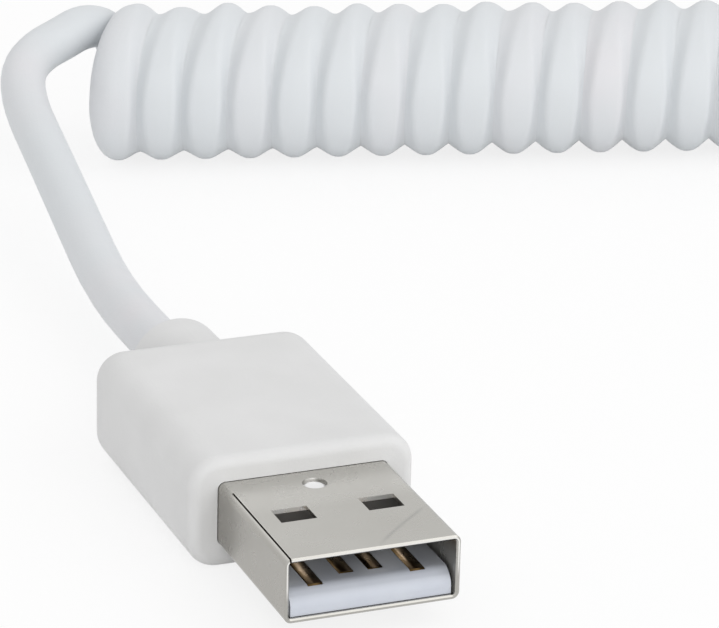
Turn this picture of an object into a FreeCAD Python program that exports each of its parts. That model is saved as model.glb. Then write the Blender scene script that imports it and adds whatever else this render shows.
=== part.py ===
import FreeCAD, Part
import math
import os
import Sketcher
from FreeCAD import Placement, Rotation, Vector

# A coiled charging cable: a flat four-pole plug and a micro plug, joined by a cord wound into a spring.
# Millimetres, +Z up, on a floor at Z = 0. The origin is under the middle of the large plug's grip, and
# that plug points along -Y. Each plug is drawn in a frame of its own: the same, with its own origin.

SIZES = [
    ("fit", 0.03, "play between pieces that are put together"),
    ("cordDiameter", 3.7, "outside of the cord's jacket"),
    ("cordFit", 0.05, "play round the jacket in a grip's bore"),
    ("wireDiameter", 0.75, "insulated wire inside the cord"),
    ("strandDiameter", 0.35, "bare end of a wire"),
    ("wireSpread", 0.55, "from the cord's axis to each wire, across and up"),
    ("strandSetback", 0.3, "from the front of a soldering tail to the strand on it"),
    ("coilDiameter", 13.0, "outside of the wound cord"),
    ("coilPitch", 3.77, "from turn to turn"),
    ("coilTurns", 24.5, "turns of the winding"),
    ("coilStartX", 11.8, "middle of the coil's end nearer the large plug"),
    ("coilStartY", 70.35, "middle of the coil's end nearer the large plug"),
    ("coilHeading", -14.9, "degrees from +X to the coil's axis"),
    ("leadSink", 1.0, "length of lead that is held by the first turn"),
    ("leadGap", 0.3, "play between the coil and the lead that moves away from it"),
    ("leadStraight", 2.2, "straight lead behind each strain relief"),
    ("microPlaceX", 121.35, "middle of the micro plug's grip"),
    ("microPlaceY", -2.75, "middle of the micro plug's grip"),
    ("microHeading", -5.0, "degrees that the micro plug is turned on the floor"),

    ("usbGripWidth", 15.9, "moulded grip of the large plug"),
    ("usbGripHeight", 7.9, "moulded grip of the large plug"),
    ("usbGripLength", 21.3, "moulded grip of the large plug"),
    ("usbGripCorner", 2.1, "rounding of the grip's long edges"),
    ("usbGripFrontRim", 0.8, "rounding of the grip's front rim"),
    ("usbGripRearRim", 1.9, "rounding of the grip's rear rim"),
    ("usbCollarRoot", 7.0, "strain relief at the grip"),
    ("usbCollarTip", 6.8, "strain relief at its end"),
    ("usbCollarLength", 5.2, "strain relief behind the grip"),
    ("usbCollarEdge", 0.7, "bevel of the strain relief's end"),
    ("usbShellWidth", 12.0, "outside of the folded shell"),
    ("usbShellHeight", 4.5, "outside of the folded shell"),
    ("usbShellSheet", 0.3, "sheet of the shell"),
    ("usbShellCorner", 0.5, "outer bend of the shell"),
    ("usbShellRim", 0.1, "bevel of the sheet's edges at the shell's mouth"),
    ("usbShellShown", 12.6, "shell in front of the grip"),
    ("usbShellHeld", 6.2, "shell inside the grip"),
    ("usbSeamWidth", 0.12, "gap where the folded sheet meets itself"),
    ("usbSeamLength", 10.8, "gap from the shell's mouth back"),
    ("usbHoleWidth", 2.45, "latch hole"),
    ("usbHoleLength", 2.0, "latch hole"),
    ("usbHoleSpacing", 6.06, "latch holes, middle to middle"),
    ("usbHoleFront", 5.4, "from the shell's mouth to the latch holes"),
    ("usbLockDiameter", 1.7, "round hole that locks the insulator"),
    ("usbLockPlace", 10.6, "from the shell's mouth to the round hole"),
    ("usbStudDiameter", 1.25, "insulator's stud in the round hole"),
    ("usbStudSink", 0.18, "from the shell's top down to the stud"),
    ("usbCavityDepth", 9.2, "from the shell's mouth to the insulator's block"),
    ("usbTongueWidth", 11.0, "insulator's tongue"),
    ("usbTongueTop", 1.95, "from the shell's underside to the tongue's top"),
    ("usbTongueRecess", 0.3, "from the shell's mouth to the tongue"),
    ("usbBevelHeight", 0.65, "lead-in on the tongue's tip"),
    ("usbBevelLength", 0.85, "lead-in on the tongue's tip"),
    ("usbTipRound", 0.9, "rounding of the lead-in's edges"),
    ("usbContactWidth", 1.0, "contact strip"),
    ("usbContactSheet", 0.3, "contact strip"),
    ("usbContactFront", 1.15, "from the shell's mouth to the power contacts"),
    ("usbContactSetback", 1.0, "data contacts behind the power contacts"),
    ("usbInnerPitch", 2.0, "data contacts, middle to middle"),
    ("usbOuterPitch", 7.0, "power contacts, middle to middle"),
    ("usbTailWidth", 0.8, "soldering tail of a contact"),
    ("usbTailLength", 2.2, "soldering tail of a contact"),
    ("usbCoreWidth", 11.6, "inner moulding round the wires"),
    ("usbCoreHeight", 5.0, "inner moulding round the wires"),
    ("usbCoreLength", 9.5, "inner moulding round the wires"),

    ("microGripWidth", 10.6, "moulded grip of the micro plug"),
    ("microGripHeight", 6.8, "moulded grip of the micro plug"),
    ("microGripLength", 17.6, "moulded grip of the micro plug"),
    ("microGripCorner", 1.8, "rounding of the grip's long edges"),
    ("microGripFrontRim", 0.6, "bevel of the grip's front rim"),
    ("microGripRearRim", 1.6, "rounding of the grip's rear rim"),
    ("microCollarRoot", 6.2, "strain relief at the grip"),
    ("microCollarTip", 5.8, "strain relief at its end"),
    ("microCollarLength", 4.4, "strain relief behind the grip"),
    ("microCollarEdge", 0.6, "bevel of the strain relief's end"),
    ("microShellWidth", 6.85, "outside of the folded shell"),
    ("microShellHeight", 1.8, "outside of the folded shell"),
    ("microShellSheet", 0.25, "sheet of the shell"),
    ("microShellBevel", 0.6, "slope of the shell's narrow side"),
    ("microShellShown", 6.6, "shell in front of the grip"),
    ("microShellHeld", 4.4, "shell inside the grip"),
    ("microCavityDepth", 5.0, "from the shell's mouth to the insulator's block"),
    ("microTongueWidth", 4.9, "insulator's tongue"),
    ("microTongueTop", 0.75, "from the shell's underside to the tongue's top"),
    ("microTongueRecess", 0.4, "from the shell's mouth to the tongue"),
    ("microBevelHeight", 0.15, "lead-in on the tongue's tip"),
    ("microBevelLength", 0.3, "lead-in on the tongue's tip"),
    ("microTipRound", 0.2, "rounding of the lead-in's edges"),
    ("microContactWidth", 0.35, "contact strip"),
    ("microContactSheet", 0.15, "contact strip"),
    ("microContactFront", 1.0, "from the shell's mouth to the power contacts"),
    ("microContactSetback", 0.4, "data contacts behind the power contacts"),
    ("microInnerPitch", 1.3, "data contacts, middle to middle"),
    ("microOuterPitch", 2.6, "power contacts, middle to middle"),
    ("microTailWidth", 0.3, "soldering tail of a contact"),
    ("microTailLength", 1.6, "soldering tail of a contact"),
    ("microCoreWidth", 7.6, "inner moulding round the wires"),
    ("microCoreHeight", 3.6, "inner moulding round the wires"),
    ("microCoreLength", 5.0, "inner moulding round the wires"),
    ("latchSpacing", 5.0, "arms of the latch spring, middle to middle"),
    ("latchArm", 0.5, "width of an arm of the latch spring"),
    ("latchSheet", 0.2, "sheet of the latch spring"),
    ("latchBridge", 0.8, "strip that joins the arms"),
    ("latchFront", 1.5, "from the shell's mouth to the arms"),
    ("barbLength", 1.0, "barb along its arm"),
    ("barbHeight", 0.65, "barb above its arm"),
    ("barbWindow", 0.15, "window in the shell round each barb"),
]

# Points that the leads pass, in order from the large plug to the coil and from the coil to the micro plug.
# The first lead sags a little, rises to the coil's top, and folds over into the first turn. The second
# comes out at the bottom of the coil and turns on the floor towards the front.
USB_LEAD = [(0.75, 31.0, 3.55), (1.75, 44.5, 5.0), (2.75, 55.5, 6.85), (3.65, 63.3, 8.4),
            (4.6, 67.0, 9.55), (6.9, 69.6, 10.45), (9.4, 70.5, 10.9)]
MICRO_LEAD = [(112.8, 43.5, 1.85), (120.3, 36.85, 1.85), (124.0, 27.55, 2.3)]

TOUCH = 1e-4        # two places closer than this are one
LEAST_CUT = 1e-6    # a cut that takes less than this has missed
ARC_SHARE = 0.45    # share of the shorter run at a corner that its bend takes up
TUBE_ERROR = 0.01   # share by which a tube's volume may miss its section times its length


class Size:
    """A number together with the sheet formula that it follows."""

    def __init__(self, value, formula):
        self.value = float(value)
        self.formula = formula

    @staticmethod
    def of(thing):
        return thing if isinstance(thing, Size) else Size(thing, repr(float(thing)))

    def __add__(self, other):
        other = Size.of(other)
        return Size(self.value + other.value, f"({self.formula} + {other.formula})")

    def __sub__(self, other):
        other = Size.of(other)
        return Size(self.value - other.value, f"({self.formula} - {other.formula})")

    def __mul__(self, factor):
        return Size(self.value * factor, f"({self.formula} * {factor!r})")

    def __truediv__(self, divisor):
        return Size(self.value / divisor, f"({self.formula} / {divisor!r})")

    def __neg__(self):
        return self * -1.0


class Named:
    """A bag of sizes under plain names."""


doc = FreeCAD.newDocument("coiled_cable")
sheet = doc.addObject("Spreadsheet::Sheet", "Sizes")
for row, (alias, value, note) in enumerate(SIZES, 1):
    sheet.set(f"A{row}", note)
    sheet.set(f"B{row}", str(value))
    sheet.setAlias(f"B{row}", alias)
doc.recompute()

s = Named()
for alias, value, note in SIZES:
    setattr(s, alias, Size(sheet.get(alias), f"Sizes.{alias}"))


def plug_sizes(prefix):
    """One plug's sizes, and the planes along it that its pieces share."""
    p = Named()
    for alias, value, note in SIZES:
        if alias.startswith(prefix):
            short = alias[len(prefix):]
            setattr(p, short[0].lower() + short[1:], getattr(s, alias))
    p.axis = p.gripHeight / 2
    p.front = -p.gripLength / 2
    p.rear = p.gripLength / 2
    p.mouth = p.front - p.shellShown
    p.shellEnd = p.front + p.shellHeld
    p.coreEnd = p.shellEnd + p.coreLength
    p.collarEnd = p.rear + p.collarLength
    p.shellLow = p.axis - p.shellHeight / 2
    p.shellTop = p.axis + p.shellHeight / 2
    p.blockFront = p.mouth + p.cavityDepth
    p.blockTop = p.shellTop - p.shellSheet - s.fit
    p.contactTop = p.shellLow + p.tongueTop
    p.wireStart = p.shellEnd + p.tailLength + s.fit
    return p


usb = plug_sizes("usb")
micro = plug_sizes("micro")
usb.place = Placement()
micro.place = Placement(
    Vector(s.microPlaceX.value, s.microPlaceY.value, 0),
    Rotation(Vector(0, 0, 1), s.microHeading.value),
)

# Each contact: its name, its place across the plug, and how far it stands back from the power contacts.
# Each wire: the contact it is soldered to, its side of the tail, and its corner of the bundle.
usb.contacts = [
    ("vbus", -usb.outerPitch / 2, 0),
    ("data_minus", -usb.innerPitch / 2, usb.contactSetback),
    ("data_plus", usb.innerPitch / 2, usb.contactSetback),
    ("ground", usb.outerPitch / 2, 0),
]
usb.wires = [("red", 0, 1, -1, -1), ("white", 1, 1, -1, 1), ("green", 2, 1, 1, 1), ("black", 3, 1, 1, -1)]
micro.contacts = [
    ("vbus", -micro.outerPitch / 2, 0),
    ("data_minus", -micro.innerPitch / 2, micro.contactSetback),
    ("data_plus", 0, micro.contactSetback),
    ("id", micro.innerPitch / 2, micro.contactSetback),
    ("ground", micro.outerPitch / 2, 0),
]
micro.wires = [("red", 0, 1, -1, 1), ("white", 1, -1, -1, -1), ("green", 2, 1, 1, 1), ("black", 4, 1, 1, -1)]

subparts = []


def subpart(kind, label, place):
    made = doc.addObject(kind, label)
    made.Label = label
    made.Placement = place
    subparts.append(made)
    return made


def bind(thing, name, size):
    thing.setExpression(name, Size.of(size).formula)


def sketch(body, name, plane, out=0, up=0):
    """A sketch on an origin plane of the body, moved out along its normal and up along its own Y."""
    made = body.newObject("Sketcher::SketchObject", name)
    support = [part for part in body.Origin.OriginFeatures if part.Role == plane][0]
    made.AttachmentSupport = [(support, "")]
    made.MapMode = "FlatFace"
    bind(made, "AttachmentOffset.Base.z", out)
    bind(made, "AttachmentOffset.Base.y", up)
    return made


def cross_sketch(body, name, y):
    """A sketch across a plug at the given Y: its X is the plug's X, and its Y is the plug's Z."""
    return sketch(body, name, "XZ_Plane", out=-Size.of(y))


def pin(profile, line, end, x, y):
    """Holds a point of the sketch at a place that follows the sheet."""
    for kind, place, axis in (("DistanceX", Size.of(x), -2), ("DistanceY", Size.of(y), -1)):
        if place.value == 0:
            profile.addConstraint(Sketcher.Constraint("PointOnObject", line, end, axis))
            continue
        ends = (-1, 1, line, end)
        if place.value < 0:
            place = -place
            ends = (line, end, -1, 1)
        index = profile.addConstraint(Sketcher.Constraint(kind, *ends, place.value))
        profile.renameConstraint(index, f"place{index}")
        bind(profile, f"Constraints.place{index}", place)


def set_radius(profile, curve, radius):
    index = profile.addConstraint(Sketcher.Constraint("Radius", curve, radius.value))
    profile.renameConstraint(index, f"radius{index}")
    bind(profile, f"Constraints.radius{index}", radius)


def polygon(profile, corners):
    first = profile.GeometryCount
    count = len(corners)
    points = [Vector(Size.of(x).value, Size.of(y).value, 0) for x, y in corners]
    for i in range(count):
        profile.addGeometry(Part.LineSegment(points[i], points[(i + 1) % count]))
    for i in range(count):
        profile.addConstraint(Sketcher.Constraint("Coincident", first + i, 2, first + (i + 1) % count, 1))
    for i, (x, y) in enumerate(corners):
        pin(profile, first + i, 1, x, y)


def rectangle(profile, left, right, low, high):
    polygon(profile, [(left, low), (right, low), (right, high), (left, high)])


def circle(profile, x, y, radius):
    middle = Vector(Size.of(x).value, Size.of(y).value, 0)
    curve = profile.addGeometry(Part.Circle(middle, Vector(0, 0, 1), radius.value))
    pin(profile, curve, 3, x, y)
    set_radius(profile, curve, radius)


def rounded_rectangle(profile, half, low, high, radius):
    """A rectangle about the sketch's Y axis with four round corners."""
    first = profile.GeometryCount
    middles = [(half - radius, low + radius), (half - radius, high - radius),
               (radius - half, high - radius), (radius - half, low + radius)]
    ends = []
    for i, (x, y) in enumerate(middles):
        middle = Vector(x.value, y.value, 0)
        start = math.radians(90 * (i - 1))
        round_off = Part.Circle(middle, Vector(0, 0, 1), radius.value)
        curve = profile.addGeometry(Part.ArcOfCircle(round_off, start, start + math.pi / 2))
        ends.append([middle + Vector(math.cos(turn), math.sin(turn), 0) * radius.value
                     for turn in (start, start + math.pi / 2)])
        pin(profile, curve, 3, x, y)
        set_radius(profile, curve, radius)
    for i in range(4):
        after = (i + 1) % 4
        side = profile.addGeometry(Part.LineSegment(ends[i][1], ends[after][0]))
        profile.addConstraint(Sketcher.Constraint("Tangent", first + i, 2, side, 1))
        profile.addConstraint(Sketcher.Constraint("Tangent", side, 2, first + after, 1))


def shell_outline(profile, p, grow):
    """The outline of a plug's shell, grown by a gap or shrunk by its sheet."""
    half = p.shellWidth / 2 + grow
    low = p.shellLow - grow
    high = p.shellTop + grow
    if p is usb:
        rounded_rectangle(profile, half, low, high, p.shellCorner + grow)
        return
    slope = p.shellBevel + Size.of(grow) * (2 - math.sqrt(2))
    polygon(profile, [(slope - half, low), (half - slope, low), (half, low + slope), (half, high),
                      (-half, high), (-half, low + slope)])


def feature(body, kind, name, profile):
    made = body.newObject("PartDesign::" + kind, name)
    made.Profile = profile
    profile.Visibility = False
    return made


def pad(body, name, profile, length, symmetric=False):
    made = feature(body, "Pad", name, profile)
    bind(made, "Length", length)
    if symmetric:
        made.SideType = "Symmetric"
    doc.recompute()
    return made


def cut(body, made, before):
    """Recomputes after a cut, and stops if it took nothing away."""
    doc.recompute()
    if not made.Shape.Volume < before - LEAST_CUT:
        raise RuntimeError(f"{body.Label}: {made.Name} cuts nothing")
    return made


def pocket(body, name, profile, length):
    before = body.Shape.Volume
    made = feature(body, "Pocket", name, profile)
    bind(made, "Length", length)
    return cut(body, made, before)


def turned(body, kind, name, profile):
    """A revolution or a groove about the sketch's own X axis."""
    before = body.Shape.Volume
    made = feature(body, kind, name, profile)
    made.ReferenceAxis = (profile, ["H_Axis"])
    made.Angle = 360
    if kind == "Groove":
        return cut(body, made, before)
    doc.recompute()
    return made


def loft(body, kind, name, first, second):
    before = body.Shape.Volume if kind == "SubtractiveLoft" else 0
    made = feature(body, kind, name, first)
    made.Sections = [second]
    made.Ruled = True
    second.Visibility = False
    if kind == "SubtractiveLoft":
        return cut(body, made, before)
    doc.recompute()
    return made


def dress(body, kind, name, base, wanted, size):
    """A fillet or chamfer on the edges of the base whose box passes the test."""
    edges = [f"Edge{i}" for i, edge in enumerate(base.Shape.Edges, 1) if wanted(edge.BoundBox)]
    if not edges:
        raise RuntimeError(f"{body.Label}: no edges for {name}")
    made = body.newObject("PartDesign::" + kind, name)
    made.Base = (base, edges)
    bind(made, "Radius" if kind == "Fillet" else "Size", size)
    doc.recompute()
    return made


def near(a, b):
    return abs(a - Size.of(b).value) < TOUCH


def level(box, z):
    return near(box.ZMin, z) and near(box.ZMax, z)


def crosswise(box, y):
    return near(box.YMin, y) and near(box.YMax, y)


def make_grip(p, label):
    """The moulded grip with its strain relief, hollow for the shell, the inner moulding and the cord."""
    body = subpart("PartDesign::Body", label, p.place)
    section = cross_sketch(body, label + "_section", p.rear)
    rounded_rectangle(section, p.gripWidth / 2, Size.of(0), p.gripHeight, p.gripCorner)
    block = pad(body, label + "_block", section, p.gripLength)
    block = dress(body, "Fillet", label + "_rear", block, lambda box: crosswise(box, p.rear), p.gripRearRim)
    front_rim = "Fillet" if p is usb else "Chamfer"
    dress(body, front_rim, label + "_front", block, lambda box: crosswise(box, p.front), p.gripFrontRim)
    half = sketch(body, label + "_collar_half", "YZ_Plane", up=p.axis)
    polygon(half, [(p.coreEnd, 0), (p.collarEnd, 0), (p.collarEnd, p.collarTip / 2),
                   (p.rear, p.collarRoot / 2), (p.coreEnd, p.collarRoot / 2)])
    collar = turned(body, "Revolution", label + "_collar", half)
    dress(body, "Chamfer", label + "_collar_end", collar,
          lambda box: crosswise(box, p.collarEnd), p.collarEdge)
    seat = cross_sketch(body, label + "_shell_seat", p.front)
    shell_outline(seat, p, s.fit)
    pocket(body, label + "_shell_pocket", seat, p.shellHeld)
    room = cross_sketch(body, label + "_core_seat", p.shellEnd)
    rectangle(room, -p.coreWidth / 2 - s.fit, p.coreWidth / 2 + s.fit,
              p.axis - p.coreHeight / 2 - s.fit, p.axis + p.coreHeight / 2 + s.fit)
    pocket(body, label + "_core_pocket", room, p.coreLength)
    bore = sketch(body, label + "_bore_half", "YZ_Plane", up=p.axis)
    rectangle(bore, p.coreEnd, p.collarEnd + p.collarEdge, 0, s.cordDiameter / 2 + s.cordFit)
    turned(body, "Groove", label + "_bore", bore)


def make_shell(p, label):
    """The folded sheet tube, open at both ends."""
    body = subpart("PartDesign::Body", label, p.place)
    section = cross_sketch(body, label + "_section", p.shellEnd)
    shell_outline(section, p, 0)
    shell_outline(section, p, -p.shellSheet)
    tube = pad(body, label + "_tube", section, p.shellShown + p.shellHeld)
    if p is usb:
        dress(body, "Chamfer", label + "_rim", tube, lambda box: crosswise(box, p.mouth), p.shellRim)
    return body


def pierce_usb_shell(body, p):
    """Latch holes in both flat sides, the locking hole, and the seam of the folded sheet."""
    label = body.Label
    holes = sketch(body, label + "_holes", "XY_Plane", out=p.shellTop)
    for side in (-1, 1):
        middle = p.holeSpacing / 2 * side
        rectangle(holes, middle - p.holeWidth / 2, middle + p.holeWidth / 2,
                  p.mouth + p.holeFront, p.mouth + p.holeFront + p.holeLength)
    pocket(body, label + "_hole_cuts", holes, p.shellHeight)
    lock = sketch(body, label + "_lock", "XY_Plane", out=p.shellTop)
    circle(lock, 0, p.mouth + p.lockPlace, p.lockDiameter / 2)
    pocket(body, label + "_lock_hole", lock, p.shellSheet * 2.0)
    gap = cross_sketch(body, label + "_seam", p.mouth)
    left = p.shellSheet - p.shellWidth / 2
    rectangle(gap, left, left + p.seamWidth, p.shellTop - p.shellSheet * 2.0, p.shellTop + p.shellSheet)
    pocket(body, label + "_seam_cut", gap, p.seamLength)


def pierce_micro_shell(body, p):
    """A window in the wide side for each barb of the latch spring."""
    windows = sketch(body, body.Label + "_windows", "XY_Plane", out=p.shellTop)
    for side in (-1, 1):
        middle = s.latchSpacing / 2 * side
        rectangle(windows, middle - s.latchArm / 2 - s.barbWindow, middle + s.latchArm / 2 + s.barbWindow,
                  p.mouth + s.latchFront - s.barbWindow,
                  p.mouth + s.latchFront + s.barbLength + s.barbWindow)
    pocket(body, body.Label + "_window_cuts", windows, p.shellSheet * 2.0)


def make_insulator(p, label):
    """The contact carrier: a block that fills the shell's back, and a tongue with a groove per contact."""
    body = subpart("PartDesign::Body", label, p.place)
    section = cross_sketch(body, label + "_section", p.shellEnd)
    shell_outline(section, p, -p.shellSheet - s.fit)
    pad(body, label + "_block", section, p.shellEnd - p.blockFront)
    side = sketch(body, label + "_side", "YZ_Plane")
    tip = p.mouth + p.tongueRecess
    low = p.shellLow + p.shellSheet + s.fit
    polygon(side, [(p.shellEnd, low), (tip, low), (tip, p.contactTop - p.bevelHeight),
                   (tip + p.bevelLength, p.contactTop), (p.shellEnd, p.contactTop)])
    tongue = pad(body, label + "_tongue", side, p.tongueWidth, symmetric=True)
    dress(body, "Fillet", label + "_tip", tongue,
          lambda box: level(box, p.contactTop) and crosswise(box, tip + p.bevelLength)
          or level(box, p.contactTop - p.bevelHeight) and crosswise(box, tip), p.tipRound)
    grooves = sketch(body, label + "_grooves", "XY_Plane", out=p.contactTop)
    for name, across, setback in p.contacts:
        half = p.contactWidth / 2 + s.fit
        rectangle(grooves, -half + across, half + across,
                  p.mouth + p.contactFront + setback - s.fit, p.shellEnd)
    pocket(body, label + "_groove_cuts", grooves, p.contactSheet + s.fit)
    return body


def add_lock_stud(body, p):
    """The stud on the block that stands in the shell's round hole."""
    stud = sketch(body, body.Label + "_stud", "XY_Plane", out=p.blockTop)
    circle(stud, 0, p.mouth + p.lockPlace, p.studDiameter / 2)
    pad(body, body.Label + "_stud_pad", stud, p.shellSheet + s.fit - p.studSink)


def latch_outline(profile, p, grow):
    """The U of the latch spring: two arms and the bridge behind them."""
    inner = (s.latchSpacing - s.latchArm) / 2 - grow
    outer = (s.latchSpacing + s.latchArm) / 2 + grow
    tip = p.mouth + s.latchFront - grow
    bridge = p.blockFront + s.latchBridge - grow
    back = p.blockFront + s.latchBridge * 2.0 + grow
    polygon(profile, [(-outer, tip), (-inner, tip), (-inner, bridge), (inner, bridge),
                      (inner, tip), (outer, tip), (outer, back), (-outer, back)])


def cut_latch_seat(body, p):
    seat = sketch(body, body.Label + "_latch_seat", "XY_Plane", out=p.blockTop)
    latch_outline(seat, p, s.fit)
    pocket(body, body.Label + "_latch_cut", seat, s.latchSheet + s.fit)


def make_latch_spring(p, label):
    """A flat spring in the block's top, with a barb on each arm that stands through the shell."""
    body = subpart("PartDesign::Body", label, p.place)
    strip = sketch(body, label + "_strip", "XY_Plane", out=p.blockTop - s.latchSheet)
    latch_outline(strip, p, 0)
    pad(body, label + "_sheet", strip, s.latchSheet)
    front = p.mouth + s.latchFront
    for side in (-1, 1):
        barb = sketch(body, f"{label}_barb_{side + 2}", "YZ_Plane", out=s.latchSpacing / 2 * side)
        base = p.blockTop - s.latchSheet
        polygon(barb, [(front, base), (front + s.barbLength, base),
                       (front + s.barbLength, p.blockTop + s.barbHeight), (front, p.blockTop)])
        pad(body, f"{label}_barb_pad_{side + 2}", barb, s.latchArm, symmetric=True)


def make_contact(p, label, across, setback):
    """A flat strip in its groove, with a narrow tail behind the block."""
    body = subpart("PartDesign::Body", label, p.place)
    strip = sketch(body, label + "_strip", "XY_Plane", out=p.contactTop - p.contactSheet)
    wide = p.contactWidth / 2
    slim = p.tailWidth / 2
    tip = p.mouth + p.contactFront + setback
    tail = p.shellEnd + p.tailLength
    polygon(strip, [(-wide + across, tip), (wide + across, tip), (wide + across, p.shellEnd),
                    (slim + across, p.shellEnd), (slim + across, tail), (-slim + across, tail),
                    (-slim + across, p.shellEnd), (-wide + across, p.shellEnd)])
    sheet_pad = pad(body, label + "_sheet", strip, p.contactSheet)
    dress(body, "Chamfer", label + "_lead_in", sheet_pad,
          lambda box: near(box.YMax, tip) and level(box, p.contactTop), p.contactSheet / 2)


def wire_height(p, side):
    """The height of a wire whose strand lies on, or under, a contact's tail."""
    gap = s.strandDiameter / 2 + s.fit
    return p.contactTop + gap if side > 0 else p.contactTop - p.contactSheet - gap


def wire_run(body, kind, p, label, wire, radius):
    """A wire's slanting run from its contact's tail to its corner of the cord's bundle."""
    name, contact, side, right, over = wire
    start = cross_sketch(body, label + "_start", p.wireStart)
    circle(start, p.contacts[contact][1], wire_height(p, side), radius)
    finish = cross_sketch(body, label + "_finish", p.coreEnd)
    circle(finish, s.wireSpread * right, p.axis + s.wireSpread * over, radius)
    loft(body, kind, label + "_run", start, finish)


def make_core(p, label):
    """The inner moulding behind the shell, with a channel for each wire and a room for each tail."""
    body = subpart("PartDesign::Body", label, p.place)
    section = cross_sketch(body, label + "_section", p.coreEnd)
    rectangle(section, -p.coreWidth / 2, p.coreWidth / 2,
              p.axis - p.coreHeight / 2, p.axis + p.coreHeight / 2)
    pad(body, label + "_block", section, p.coreLength)
    rooms = cross_sketch(body, label + "_rooms", p.shellEnd)
    above = s.strandDiameter + s.fit * 2.0
    for name, across, setback in p.contacts:
        half = p.tailWidth / 2 + s.fit * 2.0
        rectangle(rooms, -half + across, half + across,
                  p.contactTop - p.contactSheet - above, p.contactTop + above)
    pocket(body, label + "_room_cuts", rooms, p.tailLength + s.fit)
    for wire in p.wires:
        wire_run(body, "SubtractiveLoft", p, f"{label}_channel_{wire[0]}", wire,
                 s.wireDiameter / 2 + s.fit)


def make_wire(p, label, wire):
    """An insulated wire from the jacket's end to its contact, with a bare strand on the tail."""
    body = subpart("PartDesign::Body", label, p.place)
    wire_run(body, "AdditiveLoft", p, label, wire, s.wireDiameter / 2)
    strand = cross_sketch(body, label + "_strand", p.wireStart)
    circle(strand, p.contacts[wire[1]][1], wire_height(p, wire[2]), s.strandDiameter / 2)
    pad(body, label + "_strand_end", strand, p.tailLength - s.strandSetback)


def cord_tube(label, points):
    """A round tube along straight runs that are joined by tangent arcs, as large as the runs allow."""
    radius = s.cordDiameter.value / 2
    edges = []
    bends = []
    last = points[0]
    for before, corner, after in zip(points, points[1:], points[2:]):
        back = before - corner
        ahead = after - corner
        shorter = min(back.Length, ahead.Length)
        back.normalize()
        ahead.normalize()
        turn = math.pi - back.getAngle(ahead)
        reach = ARC_SHARE * shorter
        bends.append(reach / math.tan(turn / 2))
        inward = back + ahead
        inward.normalize()
        middle = corner + inward * (bends[-1] / math.cos(turn / 2) - bends[-1])
        edges.append(Part.LineSegment(last, corner + back * reach).toShape())
        edges.append(Part.Arc(corner + back * reach, middle, corner + ahead * reach).toShape())
        last = corner + ahead * reach
    edges.append(Part.LineSegment(last, points[-1]).toShape())
    path = Part.Wire(edges)
    ring = Part.Wire([Part.Circle(points[0], points[1] - points[0], radius).toShape()])
    tube = path.makePipeShell([ring], True, False)
    print(label, "length", round(path.Length, 1), "bend radii", [round(bend, 1) for bend in bends])
    if abs(tube.Volume / (math.pi * radius ** 2 * path.Length) - 1) > TUBE_ERROR:
        raise RuntimeError(f"{label}: the tube's volume is not its section times its length")
    made = subpart("Part::Feature", label, Placement())
    made.Shape = tube


def on_axis(p, y):
    """A point of the cord's axis inside or behind a plug."""
    return p.place.multVec(Vector(0, y.value, p.axis.value))


def make_cord():
    """The wound cord as one fat cylinder on the floor, and the lead from each of its ends to a plug."""
    heading = math.radians(s.coilHeading.value)
    along = Vector(math.cos(heading), math.sin(heading), 0)
    ring = Vector(0, 0, (s.coilDiameter.value - s.cordDiameter.value) / 2)
    length = s.coilPitch * s.coilTurns.value + s.cordDiameter / 2
    start = Vector(s.coilStartX.value, s.coilStartY.value, s.coilDiameter.value / 2)
    coil = subpart("Part::Cylinder", "coil", Placement(start, Rotation(Vector(0, 0, 1), along)))
    bind(coil, "Radius", s.coilDiameter / 2)
    bind(coil, "Height", length)

    route = [on_axis(usb, usb.coreEnd), on_axis(usb, usb.collarEnd + s.leadStraight)]
    route += [Vector(*point) for point in USB_LEAD]
    route.append(start + ring - Vector(0, 0, s.cordFit.value) + along * s.leadSink.value)
    cord_tube("lead_usb_a", route)

    route = [start + along * (length.value + s.leadGap.value) - ring]
    route += [Vector(*point) for point in MICRO_LEAD]
    route += [on_axis(micro, micro.collarEnd + s.leadStraight), on_axis(micro, micro.coreEnd)]
    cord_tube("lead_micro_usb", route)


for p, name in ((usb, "usb_a"), (micro, "micro_usb")):
    make_grip(p, name + "_overmould")
    shell = make_shell(p, name + "_shell")
    insulator = make_insulator(p, name + "_insulator")
    if p is usb:
        pierce_usb_shell(shell, p)
        add_lock_stud(insulator, p)
    else:
        pierce_micro_shell(shell, p)
        cut_latch_seat(insulator, p)
        make_latch_spring(p, name + "_latch_spring")
    for contact, across, setback in p.contacts:
        make_contact(p, f"{name}_contact_{contact}", across, setback)
    make_core(p, name + "_inner_mould")
    for wire in p.wires:
        make_wire(p, f"{name}_wire_{wire[0]}", wire)
make_cord()
doc.recompute()

for item in doc.Objects:
    if "Invalid" in item.State or "Error" in item.State:
        raise RuntimeError(f"{item.Label} did not build: {item.State}")
for item in subparts:
    if item.Shape.isNull() or not item.Shape.isValid() or len(item.Shape.Solids) != 1:
        raise RuntimeError(f"{item.Label} is not one sound solid")

os.makedirs("parts", exist_ok=True)
for item in subparts:
    item.Shape.exportStep(f"parts/{item.Label}.step")
    print(item.Label, round(item.Shape.Volume, 2))
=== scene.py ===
import math
import bpy
from mathutils import Matrix, Vector


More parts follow.
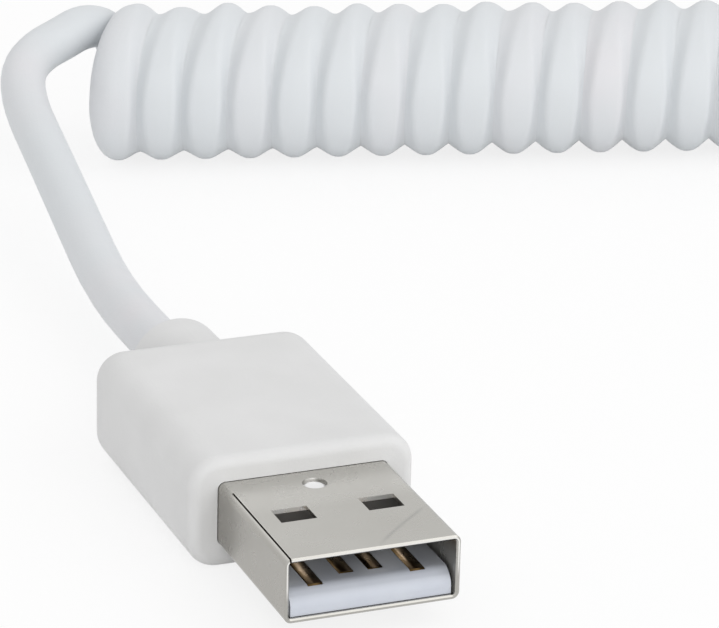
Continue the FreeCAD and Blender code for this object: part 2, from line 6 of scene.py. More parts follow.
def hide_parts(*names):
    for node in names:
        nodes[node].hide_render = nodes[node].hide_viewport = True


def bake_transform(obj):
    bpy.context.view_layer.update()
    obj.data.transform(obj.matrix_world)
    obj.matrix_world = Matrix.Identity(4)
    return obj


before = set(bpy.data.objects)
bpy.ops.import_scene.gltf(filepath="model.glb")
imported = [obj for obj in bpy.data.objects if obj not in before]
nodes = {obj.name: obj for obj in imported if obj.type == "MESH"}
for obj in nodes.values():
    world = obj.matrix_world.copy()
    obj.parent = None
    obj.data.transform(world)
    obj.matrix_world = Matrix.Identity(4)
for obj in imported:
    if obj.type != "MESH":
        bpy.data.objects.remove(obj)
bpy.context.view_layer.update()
mm = 0.001
print("frame loaded:", len(nodes), "nodes")

# camera

view = {
    "place": (-87.381, -236.176, 112.525),  # mm, in front of the large plug and to its left
    "yaw": 21.989, "pitch": 21.461, "roll": 1.381,  # degrees
    "focal": 4000.0, "frameWidth": 719,  # pixels
    "sensor": 36.0,  # mm
    "clip": (0.01, 20.0),  # m
}


def placeCamera(v):
    yaw, pitch, roll = (math.radians(v[k]) for k in ("yaw", "pitch", "roll"))
    ahead = Vector((math.sin(yaw) * math.cos(pitch), math.cos(yaw) * math.cos(pitch), -math.sin(pitch)))
    level = Vector((math.cos(yaw), -math.sin(yaw), 0))
    above = level.cross(ahead)
    right = level * math.cos(roll) + above * math.sin(roll)
    up = above * math.cos(roll) - level * math.sin(roll)
    data = bpy.data.cameras.new("photoCamera")
    data.sensor_width = v["sensor"]
    data.lens = v["focal"] * v["sensor"] / v["frameWidth"]
    data.clip_start, data.clip_end = v["clip"]
    camera = bpy.data.objects.new("photoCamera", data)
    bpy.context.scene.collection.objects.link(camera)
    facing = Matrix((right, up, -ahead)).transposed().to_4x4()
    camera.matrix_world = Matrix.Translation(Vector(v["place"]) * mm) @ facing
    bpy.context.scene.camera = camera


placeCamera(view)
print("camera placed")

# cord: one smooth line from plug to plug, with the winding between the two leads

cord = {
    "diameter": 3.7,  # mm, as all sizes here
    # winding: size, place on the floor and heading of its axis in degrees
    "outside": 13.0, "pitch": 3.77, "firstTurn": 0.125, "turns": 24.125,
    "start": (11.8, 70.35), "heading": -14.9,
    "lean": 1.37, "leanAt": 290.0, "shift": -0.36,  # each turn's near side lies towards the large plug
    "tuck": 0.6, "tuckFrom": 0.3, "tuckOver": 0.35,  # and the back of the first turn away from it
    "topFade": 3,  # how fast swell and slip fade out beside a turn's top
    "swell": [0.1, 0.27, -0.16, 0.24, -0.08, -0.24, 0.0, -0.09, -0.17, 0.03, -0.1, -0.22, -0.1, 0.0,
              -0.13, 0.08, -0.05, 0.1, -0.16, 0.04, 0.07, -0.1, 0.05, -0.08, 0.0],  # of each turn's top
    "slip": [0.3, 0.35, 0.05, 0.4, 0.15, 0.03, 0.0, -0.25, -0.25, -0.35, 0.0, -0.3, -0.05, 0.0,
             -0.15, 0.1, 0.0, 0.15, -0.1, 0.05, -0.05, 0.1, 0.0, 0.05, 0.0],  # of each top, along the winding
    # leads: points of the route
    "plugLead": [(0, 5.05, 3.95), (0, 18.05, 3.95), (0.3, 31.1, 3.4), (1.75, 44.4, 4.85), (2.8, 55.3, 6.4),
                 (3.4, 63.1, 7.75), (4.35, 67.0, 9.4), (6.7, 69.55, 10.2), (8.9, 70.6, 10.65)],
    "turnIn": [(-1.2, 0.7, 11.3), (0.45, 1.95, 11.0)],  # along the winding, behind its axis, above the floor
    "turnOut": [(92.7, 5.1, 8.1), (95.1, 5.9, 5.6), (98.2, 5.0, 3.3), (101.2, 2.8, 2.0)],
    "microLead": [(112.8, 43.5, 1.85), (120.3, 36.85, 1.85), (124.0, 27.55, 2.3), (122.692, 12.591, 3.4),
                  (121.402, -2.152, 3.4)],
    # strand: its section between its neighbours
    "pressed": 1.65,  # half height
    "neck": 1.62, "neckOver": 0.13,  # half thickness of the lead where it joins the winding
    "groove": 0.74, "sideGroove": 0.86,  # furrow's depth on top and beside
    "lowGroove": (0.7, 1.08), "lowPoint": (0.35, 0.7),  # its depth and point below, at first and later
    "lowTurns": 12.0,  # turns over which it changes
    "lowCrown": 2.7,  # power of the back's curve below
    "flatTop": 0.04, "flatSide": 0.64,  # flat share of its back
    "floorFrom": 0.96, "roundBack": 0.3,  # where the furrow's floor starts, and how round the back is beside
    "firstSide": ((0.5, 1.5), (0.75, 1.95), (0.95, 2.1)),  # turns, half width of the first turn's free side
    "lastSide": 2.07,  # and of the last turn's
    "corner": 64.0,  # degrees from a strand's crown to the edge of its wall
    "squareOver": 0.2, "pressOver": 0.25, "touchOver": 0.3,  # turns over which the winding takes its form
    "crispFrom": 0.5,  # share of touch from which a wall's edge is crisp
    "pointsPerTurn": 16, "samples": 4, "backSteps": 20, "wallSteps": 4,
    # tint: share of the warm tone at the lead's points, and of some turns
    "warmLead": [0.8, 0.8, 0.3, 0.0, 0.0, 0.4, 0.4, 0.0, 0.0, 0.0, 0.05],
    "warmTurns": {0: 0.25, 3: 0.2, 6: 0.35, 9: 0.3, 11: 0.6, 14: 0.3, 18: 0.4, 21: 0.3},
    "warmAt": 0.8,  # of a turn, where its tint is strongest
}
cord["sides"] = 2 * (cord["backSteps"] + cord["wallSteps"])
heading = math.radians(cord["heading"])
coilAlong = Vector((math.cos(heading), math.sin(heading), 0))
coilBack = Vector((-math.sin(heading), math.cos(heading), 0))
coilStart = Vector((*cord["start"], 0))
upward = Vector((0, 0, 1))


def besideCoil(along, back, height):
    return coilStart + coilAlong * along + coilBack * back + upward * height


def smoothStep(x):
    x = min(max(x, 0.0), 1.0)
    return x * x * (3 - 2 * x)


def valueAt(values, place):
    place = min(max(place, 0.0), len(values) - 1)
    first = min(int(place), len(values) - 2)
    return values[first] + (values[first + 1] - values[first]) * (place - first)


def strandPlace(turns, c):  # along the winding, and out from its axis
    angle = turns * 2 * math.pi
    top = max(0.0, math.cos(angle)) ** c["topFade"]
    lean = c["shift"] - c["lean"] * math.cos(angle - math.radians(c["leanAt"]))
    tuck = c["tuck"] * (1 - smoothStep((turns - c["tuckFrom"]) / c["tuckOver"]))
    along = c["pitch"] * turns + lean + tuck + valueAt(c["slip"], turns) * top
    return along, c["outside"] / 2 - c["pressed"] + valueAt(c["swell"], turns) * top


def windingPoints(c):
    inset = 0.75 + 0.25 * math.cos(2 * math.pi / c["pointsPerTurn"])  # the line runs inside its points
    points = []
    for i in range(round(c["firstTurn"] * c["pointsPerTurn"]), round(c["turns"] * c["pointsPerTurn"]) + 1):
        turns = i / c["pointsPerTurn"]
        angle = turns * 2 * math.pi
        along, out = strandPlace(turns, c)
        out /= inset
        points.append(besideCoil(along, out * math.sin(angle), c["outside"] / 2 + out * math.cos(angle)))
    return points


def cordLine(c):
    lead = [Vector(p) for p in c["plugLead"]] + [besideCoil(*p) for p in c["turnIn"]]
    out = [besideCoil(*p) for p in c["turnOut"]] + [Vector(p) for p in c["microLead"]]
    points = lead + windingPoints(c) + out
    curve = bpy.data.curves.new("cordRoute", "CURVE")
    curve.dimensions = "3D"
    curve.resolution_u = c["samples"]
    line = curve.splines.new("NURBS")
    line.points.add(len(points) - 1)
    for point, place in zip(line.points, points):
        point.co = (*(place * mm), 1)
    line.order_u = 3
    line.use_endpoint_u = True
    route = bpy.data.objects.new("cordRoute", curve)
    bpy.context.scene.collection.objects.link(route)
    bpy.context.view_layer.update()
    mesh = bpy.data.meshes.new_from_object(route.evaluated_get(bpy.context.evaluated_depsgraph_get()))
    path = [v.co.copy() for v in mesh.vertices]
    bpy.data.objects.remove(route)
    bpy.data.meshes.remove(mesh)
    spacing = (len(points) - 2) / (len(path) - 1)  # route points from one ring to the next
    turns = [(i * spacing + 0.5 - len(lead)) / c["pointsPerTurn"] + c["firstTurn"] for i in range(len(path))]
    return path, turns


def ringFrames(path, turns, c):
    last = len(path) - 1
    ways = [(path[min(i + 1, last)] - path[max(i - 1, 0)]).normalized() for i in range(len(path))]
    wound = [i for i, t in enumerate(turns) if c["firstTurn"] <= t <= c["turns"]]
    axis = besideCoil(0, 0, c["outside"] / 2) * mm
    frames = {}
    for i in wound:
        out = path[i] - axis
        out -= coilAlong * out.dot(coilAlong)
        square = (out - ways[i] * out.dot(ways[i])).normalized()
        hold = smoothStep((turns[i] - c["firstTurn"]) / c["squareOver"])
        hold *= smoothStep((c["turns"] - turns[i]) / c["squareOver"])
        across = ways[i].cross(square).lerp(coilAlong, hold)  # strands lie flat against each other
        frames[i] = (across, square.lerp(out.normalized(), hold))
    for order in (range(wound[0] - 1, -1, -1), range(wound[-1] + 1, len(path))):
        out = frames[wound[0] if order.step < 0 else wound[-1]][1]
        for i in order:
            out = (out - ways[i] * out.dot(ways[i])).normalized()
            frames[i] = (ways[i].cross(out), out)
    return [frames[i] for i in range(len(path))]


def stepsRound(c):  # from a strand's left edge: angle from the crown, if on a wall, place between edges
    back, wall, corner = c["backSteps"], c["wallSteps"], c["corner"]
    across = [2 * k / back - 1 for k in range(back)]
    steps = [(corner * u, False, math.sin(math.pi / 2 * u)) for u in across]
    steps += [(corner + (180 - 2 * corner) * k / wall, True, 1 - 2 * k / wall) for k in range(wall)]
    steps += [(angle + 180, onWall, -place) for angle, onWall, place in steps]
    return [(math.radians(angle), onWall, place) for angle, onWall, place in steps]


def sidesTouch(turns, c):  # how far a strand is pressed, and flat on its left and on its right
    begun, ahead = turns - c["firstTurn"], c["turns"] - turns
    inside = smoothStep(begun / c["pressOver"]) * smoothStep(ahead / c["pressOver"])
    left = smoothStep((begun - 1) / c["touchOver"])  # nothing lies beside the first turn
    right = smoothStep((ahead - 1) / c["touchOver"])
    return inside, left * inside, right * inside


def firstSideAt(turns, c):
    marks = c["firstSide"]
    for (low, narrow), (high, wide) in zip(marks, marks[1:]):
        if turns <= high:
            return narrow + (wide - narrow) * smoothStep((turns - low) / (high - low))
    return marks[-1][1]


def strandSection(turns, c, steps):
    inside, left, right = sidesTouch(turns, c)
    plain = c["diameter"] / 2
    if turns < 1:
        plain += (c["neck"] - plain) * smoothStep((turns - c["firstTurn"] + c["neckOver"]) / c["neckOver"])
    half = plain + (c["pressed"] - plain) * inside
    height = math.cos(turns * 2 * math.pi)
    top, below = max(0.0, height) ** 2, min(0.0, height) ** 2
    beside = 1 - top - below
    onward = smoothStep(turns / c["lowTurns"])
    lowGroove, lowPoint = (low + (high - low) * onward for low, high in (c["lowGroove"], c["lowPoint"]))
    groove = c["groove"] * top + lowGroove * below + c["sideGroove"] * beside
    flatBack = c["flatTop"] * top + c["flatSide"] * beside
    here, before, after = (strandPlace(t, c) for t in (turns, turns - 1, turns + 1))
    # of each side: touch, half width alone and pressed, depth of the furrow, where neighbours meet half way
    leftSide = (left, plain + (firstSideAt(turns, c) - plain) * inside, (here[0] - before[0]) / 2,
                groove + (here[1] - before[1]) / 2)
    rightSide = (right, plain + (c["lastSide"] - plain) * inside, (after[0] - here[0]) / 2,
                 groove + (here[1] - after[1]) / 2)
    section = []
    for angle, onWall, place in steps:
        touch, wide, flat, depth = leftSide if math.sin(angle) < 0 else rightSide
        free = (wide * math.sin(angle), half * math.cos(angle))
        if onWall:
            held = (math.copysign(flat, math.sin(angle)), (half - depth) * place)
        else:
            fall = smoothStep((abs(place) - flatBack) / (c["floorFrom"] - flatBack))
            fall += (place * place - fall) * c["roundBack"] * beside
            fall += (abs(place) ** c["lowCrown"] - fall) * lowPoint * below * below
            held = (flat * abs(place) * math.copysign(1, math.sin(angle)),
                    math.copysign(half - depth * fall, math.cos(angle)))
        section.append(tuple(f + (h - f) * touch for f, h in zip(free, held)))
    return section


def warmthAt(turns, c):  # a turn's tint fades into the next on the winding's far side
    if turns < c["firstTurn"]:
        return valueAt(c["warmLead"], (turns - c["firstTurn"]) * c["pointsPerTurn"] + len(c["warmLead"]))
    place = turns - c["warmAt"]
    return sum(share * max(0.0, 1 - abs(place - turn)) for turn, share in c["warmTurns"].items())


def markEdges(mesh, touch, c):  # the edges of a strand's flat walls are crisp, its back is smooth
    sides, back, wall = c["sides"], c["backSteps"], c["wallSteps"]
    corners = {0: 0, back: 1, back + wall: 1, 2 * back + wall: 0}  # 0 on the left, 1 on the right
    crisp = []
    for edge in mesh.edges:
        first, second = sorted(edge.vertices)
        side = corners.get(first % sides) if second - first == sides else None
        ring = first // sides
        crisp.append(side is not None and min(touch[ring][side], touch[ring + 1][side]) > c["crispFrom"])
    mesh.attributes.new("sharp_edge", "BOOLEAN", "EDGE").data.foreach_set("value", crisp)


def sweepCord(name, path, turns, c):
    sides, steps = c["sides"], stepsRound(c)
    verts, faces, length, touch, warmth = [], [], 0.0, [], []
    for i, (place, (across, out)) in enumerate(zip(path, ringFrames(path, turns, c))):
        length += (place - path[max(i - 1, 0)]).length
        touch.append(sidesTouch(turns[i], c)[1:])
        verts += [place + (across * x + out * y) * mm for x, y in strandSection(turns[i], c, steps)]
        warmth += [warmthAt(turns[i], c)] * sides
    for i in range(len(path) - 1):
        for k in range(sides):
            n = (k + 1) % sides
            faces.append((i * sides + k, i * sides + n, (i + 1) * sides + n, (i + 1) * sides + k))
    faces.append(tuple(reversed(range(sides))))
    faces.append(tuple(range((len(path) - 1) * sides, len(path) * sides)))
    mesh = bpy.data.meshes.new(name)
    mesh.from_pydata(verts, [], faces)
    for face in mesh.polygons:
        face.use_smooth = len(face.vertices) == 4
    rest = mesh.attributes.new("restPlace", "FLOAT_VECTOR", "POINT")  # the finish stays put on an open coil
    rest.data.foreach_set("vector", [v for vert in verts for v in vert])
    mesh.attributes.new("warmth", "FLOAT", "POINT").data.foreach_set("value", warmth)
    markEdges(mesh, touch, c)
    mesh.update()
    piece = bpy.data.objects.new(name, mesh)
    bpy.context.scene.collection.objects.link(piece)
    return piece, length


cordPath, cordTurns = cordLine(cord)
cordPiece, cordLength = sweepCord("cord_jacket", cordPath, cordTurns, cord)
print("cord swept:", len(cordPath), "rings,", round(cordLength, 4), "m")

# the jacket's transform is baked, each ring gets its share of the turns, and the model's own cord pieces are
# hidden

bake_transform(cordPiece)
shares = []
for turns in cordTurns:
    share = (turns - cord["firstTurn"]) / (cord["turns"] - cord["firstTurn"])
    shares += [min(max(share, 0.0), 1.0)] * cord["sides"]
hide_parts("coil", "lead_usb_a", "lead_micro_usb")

# finishes shared by several materials, as node groups


def addNode(tree, kind, values=None, **settings):
    node = tree.nodes.new("ShaderNode" + kind)
    for key, value in settings.items():
        setattr(node, key, value)
    for key, value in (values or {}).items():
        if isinstance(value, bpy.types.NodeSocket):
            tree.links.new(value, node.inputs[key])
        else:
            node.inputs[key].default_value = value
    return node


def mathNode(tree, operation, *values):
    return addNode(tree, "Math", dict(enumerate(values)), operation=operation).outputs[0]


def share01(tree, value, low, high):
    return addNode(tree, "MapRange", {"Value": value, "From Min": low, "From Max": high}).outputs["Result"]


def spread(tree, share, low, high):
    return addNode(tree, "MapRange", {"Value": share, "To Min": low, "To Max": high}).outputs["Result"]


def newGroup(name, inputs, outputs):
    group = bpy.data.node_groups.new(name, "ShaderNodeTree")
    for label, (kind, value) in inputs.items():
        socket = group.interface.new_socket(label, in_out="INPUT", socket_type="NodeSocket" + kind)
        if value is not None:
            socket.default_value = value
    for label in outputs:
        group.interface.new_socket(label, in_out="OUTPUT", socket_type="NodeSocketFloat")
    return group, group.nodes.new("NodeGroupInput").outputs, group.nodes.new("NodeGroupOutput").inputs


grainForm = {"coarseDetail": 3.0, "finer": 2.7, "fineDetail": 1.0, "fineShare": 0.45}


def buildMouldedGrain(f):
    group, given, result = newGroup("mouldedGrain", {"Place": ("Vector", None), "Grains": ("Float", 6000.0)},
                                    ("Height",))
    coarse = addNode(group, "TexNoise", {"Vector": given["Place"], "Scale": given["Grains"],
                                         "Detail": f["coarseDetail"]}).outputs["Fac"]
    finer = mathNode(group, "MULTIPLY", given["Grains"], f["finer"])
    fine = addNode(group, "TexNoise", {"Vector": given["Place"], "Scale": finer,
                                       "Detail": f["fineDetail"]}).outputs["Fac"]
    group.links.new(mathNode(group, "MULTIPLY_ADD", fine, f["fineShare"], coarse), result["Height"])
    return group


cloudForm = {"detail": 2.5, "low": 0.3, "high": 0.7}


def buildToneClouds(f):
    group, given, result = newGroup("toneClouds", {"Place": ("Vector", None), "Scale": ("Float", 100.0),
                                                   "Low": ("Float", 0.0), "High": ("Float", 1.0)}, ("Tone",))
    cloud = addNode(group, "TexNoise", {"Vector": given["Place"], "Scale": given["Scale"],
                                        "Detail": f["detail"]}).outputs["Fac"]
    tone = addNode(group, "MapRange", {"Value": cloud, "From Min": f["low"], "From Max": f["high"],
                                       "To Min": given["Low"], "To Max": given["High"]})
    group.links.new(tone.outputs["Result"], result["Tone"])
    return group


lineForm = {"detail": 4.0, "scratchFrom": 0.62, "scratchTo": 0.72}


def buildDragLines(f):
    group, given, result = newGroup("dragLines", {"Place": ("Vector", None), "Stretch": ("Vector", None)},
                                    ("Height", "Scratches"))
    drawn = addNode(group, "VectorMath", {0: given["Place"], 1: given["Stretch"]}, operation="MULTIPLY")
    lines = addNode(group, "TexNoise", {"Vector": drawn.outputs[0], "Scale": 1.0,
                                        "Detail": f["detail"]}).outputs["Fac"]
    group.links.new(lines, result["Height"])
    group.links.new(share01(group, lines, f["scratchFrom"], f["scratchTo"]), result["Scratches"])
    return group


mouldedGrain = buildMouldedGrain(grainForm)
toneClouds = buildToneClouds(cloudForm)
dragLines = buildDragLines(lineForm)
print("finishes built")

# materials: places and depths in metres


def newMaterial(name, colour, metallic=0.0):
    material = bpy.data.materials.new(name)
    material.use_nodes = True
    shader = material.node_tree.nodes["Principled BSDF"]
    shader.inputs["Base Color"].default_value = (*colour, 1)
    shader.inputs["Metallic"].default_value = metallic
    return material, material.node_tree, shader


def objectPlace(tree):
    return addNode(tree, "TexCoord").outputs["Object"]


def splitUp(tree, vector):
    return addNode(tree, "SeparateXYZ", {0: vector}).outputs


def piecePlace(tree):  # from 0 to 1 across, along and up each piece
    return splitUp(tree, addNode(tree, "TexCoord").outputs["Generated"])


def clouds(tree, place, scale, span=(0.0, 1.0)):
    values = {"Place": place, "Scale": scale, "Low": span[0], "High": span[1]}
    return addNode(tree, "Group", values, node_tree=toneClouds).outputs["Tone"]


def mixColours(tree, share, first, second):
    mix = addNode(tree, "Mix", {"Factor": share}, data_type="RGBA")
    for key, colour in (("A", first), ("B", second)):
        socket = next(s for s in mix.inputs if s.name == key and s.type == "RGBA")
        if isinstance(colour, bpy.types.NodeSocket):
            tree.links.new(colour, socket)
        else:
            socket.default_value = (*colour, 1)
    return next(s for s in mix.outputs if s.type == "RGBA")


def feed(tree, shader, socket, value):
    tree.links.new(value, shader.inputs[socket])


def addBump(tree, shader, height, depth):
    bump = addNode(tree, "Bump", {"Height": height, "Distance": depth, "Strength": 1.0})
    feed(tree, shader, "Normal", bump.outputs["Normal"])


def addGrain(tree, shader, place, grains, depth):
    grain = addNode(tree, "Group", {"Place": place, "Grains": grains}, node_tree=mouldedGrain)
    addBump(tree, shader, grain.outputs["Height"], depth)


def drawLines(tree, place, stretch):
    return addNode(tree, "Group", {"Place": place, "Stretch": stretch}, node_tree=dragLines).outputs


grip = {"colour": (0.715, 0.715, 0.715), "dullToneAndShade": (0.68, 0.68, 0.678), "toneScale": 140.0,
        "rough": (0.42, 0.58), "roughScale": 420.0, "grains": 5200.0, "depth": 0.000012}

wire = {"toneScale": 500.0, "dulled": 0.82, "rough": (0.34, 0.5), "roughScale": 1600.0, "grains": 5000.0,
        "depth": 0.000006, "innerMould": (0.58, 0.57, 0.52),
        "colours": {"red": (0.4, 0.012, 0.012), "white": (0.7, 0.7, 0.68), "green": (0.012, 0.16, 0.035),
                    "black": (0.012, 0.012, 0.014)}}


def makeMouldedPlastic(name, p):
    material, tree, shader = newMaterial(name, p["colour"])
    place = objectPlace(tree)
    tone = clouds(tree, place, p["toneScale"])
    feed(tree, shader, "Base Color", mixColours(tree, tone, p["colour"], p["dullToneAndShade"]))
    feed(tree, shader, "Roughness", clouds(tree, place, p["roughScale"], p["rough"]))
    addGrain(tree, shader, place, p["grains"], p["depth"])
    return material


def makeWirePlastic(name, colour, w):
    dullToneAndShade = tuple(v * w["dulled"] for v in colour)
    return makeMouldedPlastic("wirePlastic" + name.capitalize(), {**w, "colour": colour, "dullToneAndShade": dullToneAndShade})


jacket = {"cool": (0.675, 0.7, 0.72), "warm": (0.72, 0.7, 0.72), "warmScale": 160.0, "warmSpan": (0.25, 1.25),
          "rough": (0.48, 0.6), "roughScale": 300.0, "grains": 2600.0, "depth": 0.000012,
          "soft": 0.15, "softDepth": 0.0005, "softSpread": (1.0, 1.0, 1.0)}


def makeJacketPlastic(j):
    material, tree, shader = newMaterial("jacketPlastic", j["cool"])
    place = addNode(tree, "Attribute", attribute_name="restPlace").outputs["Vector"]
    warmth = addNode(tree, "Attribute", attribute_name="warmth").outputs["Fac"]
    tint = mathNode(tree, "MULTIPLY", warmth, clouds(tree, place, j["warmScale"], j["warmSpan"]))
    feed(tree, shader, "Base Color", mixColours(tree, tint, j["cool"], j["warm"]))
    feed(tree, shader, "Roughness", clouds(tree, place, j["roughScale"], j["rough"]))
    addGrain(tree, shader, place, j["grains"], j["depth"])
    shader.inputs["Subsurface Weight"].default_value = j["soft"]
    shader.inputs["Subsurface Scale"].default_value = j["softDepth"]
    shader.inputs["Subsurface Radius"].default_value = j["softSpread"]
    return material


nickel = {
    "colour": (0.45, 0.442, 0.415), "rough": (0.265, 0.29), "roughScale": 700.0,
    "stretch": (7000.0, 260.0, 7000.0), "depth": 0.0000001,  # lines drawn along the shell
    # smoked tone: random smoke stains, and painted shade on the narrow outer sides
    "smokedAndShaded": (0.36, 0.345, 0.315), "smokeAndSideShade": 0.3, "smokeScale": 180.0,
    "rearReflection": (0.55, 0.54, 0.51), "rearReflectionSpan": (-0.0165, -0.0125),  # painted reflection: the top is lighter near the grip
    "scratched": (0.35, 0.345, 0.325), "scratchSpan": (0.0004, 0.0056), "scratchFade": 0.001,
    "scratchCentre": (0.04, -0.0612, 0.0), "scratchRadius": 0.055, "scratchWidth": 0.00022,
    "midHeight": 0.0037, "midBlend": 0.0004,  # above it, a face that looks down is the sheet's inner side
    "dullToneAndShade": (0.16, 0.157, 0.15), "cut": (0.84, 0.83, 0.8),  # painted shade on that inner side, and a painted highlight on the sheet's front-facing edges
    "mattMetal": 0.6, "mattSpan": (0.006, 0.003),  # inner walls are matt low down
    # how a face has to look to count as top, underside, front edge, narrow side or inner wall
    "facesUp": (0.9, 0.99), "facesDown": (-0.3, -0.7), "facesFront": (-0.8, -0.97),
    "facesOut": (0.5, 1.2), "facesIn": (-0.6, -0.9),
}


def scratchLine(tree, place, spot, n):  # one long shallow mark, part of a wide circle
    flat = addNode(tree, "VectorMath", {0: place, 1: (1, 1, 0)}, operation="MULTIPLY").outputs[0]
    away = addNode(tree, "VectorMath", {0: flat, 1: n["scratchCentre"]}, operation="DISTANCE")
    aside = mathNode(tree, "SUBTRACT", away.outputs["Value"], n["scratchRadius"])
    aside = mathNode(tree, "ABSOLUTE", aside)
    line = share01(tree, aside, n["scratchWidth"], 0.0)
    start, end = n["scratchSpan"]
    begun = share01(tree, spot["X"], start, start + n["scratchFade"])
    ended = share01(tree, spot["X"], end, end - n["scratchFade"])
    return mathNode(tree, "MULTIPLY", line, mathNode(tree, "MULTIPLY", begun, ended))


def makeNickelPlate(n):
    material, tree, shader = newMaterial("nickelPlate", n["colour"], metallic=1.0)
    place = objectPlace(tree)
    spot = splitUp(tree, place)
    facing = splitUp(tree, addNode(tree, "NewGeometry").outputs["Normal"])
    outward = mathNode(tree, "MULTIPLY", facing["X"], spread(tree, piecePlace(tree)["X"], -1.0, 1.0))
    onTop = share01(tree, facing["Z"], *n["facesUp"])
    upper = share01(tree, spot["Z"], n["midHeight"] - n["midBlend"], n["midHeight"] + n["midBlend"])

    stain = mathNode(tree, "MULTIPLY", clouds(tree, place, n["smokeScale"]), n["smokeAndSideShade"])
    aside = share01(tree, outward, *n["facesOut"])  # painted shade: the narrow outer sides are darkened
    # painted shade on the narrow sides shares one mask with the random smoke stains
    smokeAndSideShade = mathNode(tree, "MAXIMUM", stain, aside)
    colour = mixColours(tree, smokeAndSideShade, n["colour"], n["smokedAndShaded"])
    # painted reflection: the shell's top is lightened near the grip
    rear = mathNode(tree, "MULTIPLY", share01(tree, spot["Y"], *n["rearReflectionSpan"]), onTop)
    colour = mixColours(tree, rear, colour, n["rearReflection"])
    scratch = mathNode(tree, "MULTIPLY", scratchLine(tree, place, spot, n), onTop)
    colour = mixColours(tree, scratch, colour, n["scratched"])
    # painted shade: faces that look down inside the shell are darkened
    inside = mathNode(tree, "MULTIPLY", share01(tree, facing["Z"], *n["facesDown"]), upper)
    colour = mixColours(tree, inside, colour, n["dullToneAndShade"])
    # painted highlight: the sheet's front-facing edges are lightened
    cut = mathNode(tree, "MULTIPLY", share01(tree, facing["Y"], *n["facesFront"]), upper)
    feed(tree, shader, "Base Color", mixColours(tree, cut, colour, n["cut"]))

    low = share01(tree, spot["Z"], *n["mattSpan"])
    matt = mathNode(tree, "MULTIPLY", share01(tree, outward, *n["facesIn"]), low)
    feed(tree, shader, "Metallic", spread(tree, matt, 1.0, n["mattMetal"]))
    feed(tree, shader, "Roughness", clouds(tree, place, n["roughScale"], n["rough"]))
    addBump(tree, shader, drawLines(tree, place, n["stretch"])["Height"], n["depth"])
    return material


tongue = {"colour": (0.6, 0.63, 0.69), "shade": (0.55, 0.58, 0.65), "toneScale": 350.0,
          "rough": (0.28, 0.42), "roughScale": 900.0, "grains": 4000.0, "depth": 0.000006,
          "deepShade": (0.19, 0.18, 0.165), "deepShadeSpan": (-0.0232, -0.0135),  # painted shade, darker towards the plug's back
          "stud": (0.86, 0.86, 0.86), "studSpan": (0.0055, 0.0058)}  # painted highlight on the stud in the shell's round hole


def makeTonguePlastic(t):
    material, tree, shader = newMaterial("tonguePlastic", t["colour"])
    place = objectPlace(tree)
    spot = splitUp(tree, place)
    colour = mixColours(tree, clouds(tree, place, t["toneScale"]), t["colour"], t["shade"])
    # painted shade inside the shell
    colour = mixColours(tree, share01(tree, spot["Y"], *t["deepShadeSpan"]), colour, t["deepShade"])
    # painted highlight on the stud
    colour = mixColours(tree, share01(tree, spot["Z"], *t["studSpan"]), colour, t["stud"])
    feed(tree, shader, "Base Color", colour)
    feed(tree, shader, "Roughness", clouds(tree, place, t["roughScale"], t["rough"]))
    addGrain(tree, shader, place, t["grains"], t["depth"])
    return material


contact = {"gold": (0.68, 0.52, 0.36), "shadeBrown": (0.15, 0.095, 0.04),
           "rough": (0.22, 0.42), "roughScale": 1500.0,
           "wornScale": 1100.0, "wornSpan": (-0.1, 0.18), "edgeShadeSpan": (0.02, 0.4),  # painted shade: brown towards the edges, leaving the gold middle as a painted highlight
           "tipShadeSpan": (0.14, 0.06),  # share of a strip's length over which its tip is painted brown as shade
           "dome": 0.00014}  # how far its middle stands up


def makeContactGold(c):
    material, tree, shader = newMaterial("contactGold", c["gold"], metallic=1.0)
    place = objectPlace(tree)
    strip = piecePlace(tree)
    offset = spread(tree, strip["X"], -1.0, 1.0)
    edge = mathNode(tree, "MULTIPLY", offset, offset)
    # painted shade at the edges, with random mottling
    edgeShadeAndMottle = mathNode(tree, "ADD", edge, clouds(tree, place, c["wornScale"], c["wornSpan"]))
    tipShade = share01(tree, strip["Y"], *c["tipShadeSpan"])
    share = mathNode(tree, "MAXIMUM", share01(tree, edgeShadeAndMottle, *c["edgeShadeSpan"]), tipShade)
    feed(tree, shader, "Base Color", mixColours(tree, share, c["gold"], c["shadeBrown"]))
    feed(tree, shader, "Roughness", clouds(tree, place, c["roughScale"], c["rough"]))
    addBump(tree, shader, mathNode(tree, "SUBTRACT", 1.0, edge), c["dome"])
    return material


spring = {"colour": (0.46, 0.46, 0.45), "scratched": (0.33, 0.325, 0.31), "rough": (0.22, 0.4),
          "roughScale": 900.0, "stretch": (9000.0, 400.0, 9000.0), "depth": 0.000003}


def makeSpringSteel(s):
    material, tree, shader = newMaterial("springSteel", s["colour"], metallic=1.0)
    place = objectPlace(tree)
    lines = drawLines(tree, place, s["stretch"])
    feed(tree, shader, "Base Color", mixColours(tree, lines["Scratches"], s["colour"], s["scratched"]))
    feed(tree, shader, "Roughness", clouds(tree, place, s["roughScale"], s["rough"]))
    addBump(tree, shader, lines["Height"], s["depth"])
    return material


def dress(piece, material):
    piece.data.materials.clear()
    piece.data.materials.append(material)


finishes = {  # by a word of the piece's name
    "overmould": makeMouldedPlastic("gripPlastic", grip),
    "shell": makeNickelPlate(nickel),
    "insulator": makeTonguePlastic(tongue),
    "contact": makeContactGold(contact),
    "latch_spring": makeSpringSteel(spring),
    "inner_mould": makeWirePlastic("inner", wire["innerMould"], wire),
}
for name, colour in wire["colours"].items():
    finishes["wire_" + name] = makeWirePlastic(name, colour, wire)
for name, node in nodes.items():
    for word, material in finishes.items():
        if word in name:
            dress(node, material)
dress(cordPiece, makeJacketPlastic(jacket))
print("materials set")

# floor, lamps and background

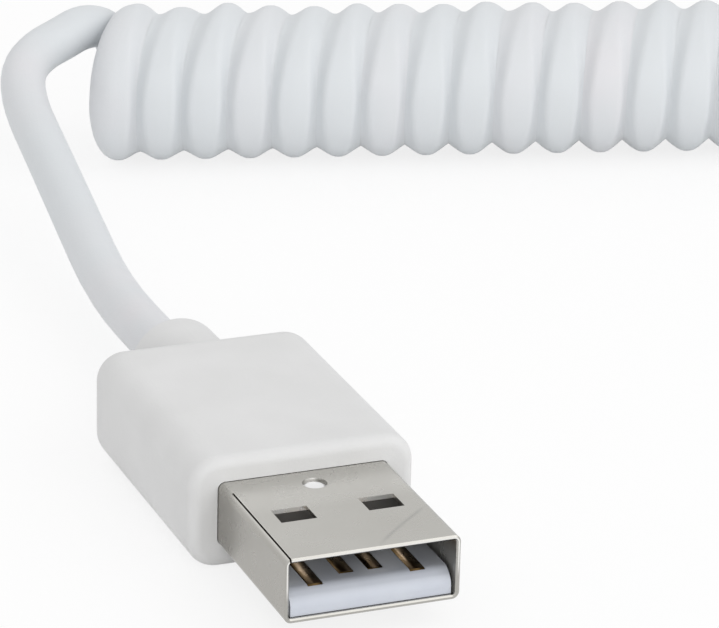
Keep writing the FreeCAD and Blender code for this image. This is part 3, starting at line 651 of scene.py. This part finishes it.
studio = {
    "floorSize": 3.0, "floorDrop": 0.00005, "floorColour": (0.95, 0.95, 0.95), "floorRough": 0.9,
    "floorGlow": 0.8,  # share of plain white that the camera sees
    "world": 0.71,  # strength for the light on the object
    "aim": (0.03, 0.02, 0.0),  # of all lamps, in m
    "lamps": {  # place in m, width, height, watts
        "keySoftbox": ((0.56, -0.44, 0.6), 0.8, 0.8, 2.4),
        "frontSoftbox": ((-0.14, -0.86, 0.36), 0.7, 0.35, 2.0),
        "backSoftbox": ((-0.1, 0.6, 0.6), 0.8, 0.5, 0.6),
    },
}


def seenRays(tree):  # rays that show the background itself, and not the light that it gives
    rays = addNode(tree, "LightPath").outputs
    mirrored = mathNode(tree, "MAXIMUM", rays["Is Glossy Ray"], rays["Is Transmission Ray"])
    return mathNode(tree, "MAXIMUM", rays["Is Camera Ray"], mirrored)


def buildFloor(s):
    half = s["floorSize"] / 2
    corners = [(-half, -half, 0), (half, -half, 0), (half, half, 0), (-half, half, 0)]
    mesh = bpy.data.meshes.new("floor")
    mesh.from_pydata(corners, [], [(0, 1, 2, 3)])
    floor = bpy.data.objects.new("floor", mesh)
    floor.location.z = -s["floorDrop"]
    bpy.context.scene.collection.objects.link(floor)
    material, tree, shader = newMaterial("floorPaper", s["floorColour"])
    shader.inputs["Roughness"].default_value = s["floorRough"]
    share = mathNode(tree, "MULTIPLY", seenRays(tree), s["floorGlow"])
    glow = addNode(tree, "Emission", {"Color": (1, 1, 1, 1), "Strength": 1.0})
    mix = addNode(tree, "MixShader", {0: share, 1: shader.outputs[0], 2: glow.outputs[0]})
    tree.links.new(mix.outputs[0], tree.nodes["Material Output"].inputs["Surface"])
    dress(floor, material)


def buildLamps(s):
    for name, (place, width, height, watts) in s["lamps"].items():
        data = bpy.data.lights.new(name, "AREA")
        data.shape = "RECTANGLE"
        data.size, data.size_y, data.energy = width, height, watts
        lamp = bpy.data.objects.new(name, data)
        bpy.context.scene.collection.objects.link(lamp)
        lamp.location = place
        lamp.rotation_mode = "QUATERNION"
        lamp.rotation_quaternion = (Vector(s["aim"]) - Vector(place)).to_track_quat("-Z", "Y")


def buildWorld(s):
    world = bpy.data.worlds.new("paleRoom")
    bpy.context.scene.world = world
    world.use_nodes = True
    tree = world.node_tree
    back = tree.nodes["Background"]
    back.inputs["Color"].default_value = (1, 1, 1, 1)
    tree.links.new(spread(tree, seenRays(tree), s["world"], 1.0), back.inputs["Strength"])


buildFloor(studio)
buildLamps(studio)
buildWorld(studio)
bpy.context.scene.view_settings.view_transform = "Standard"
print("studio built")
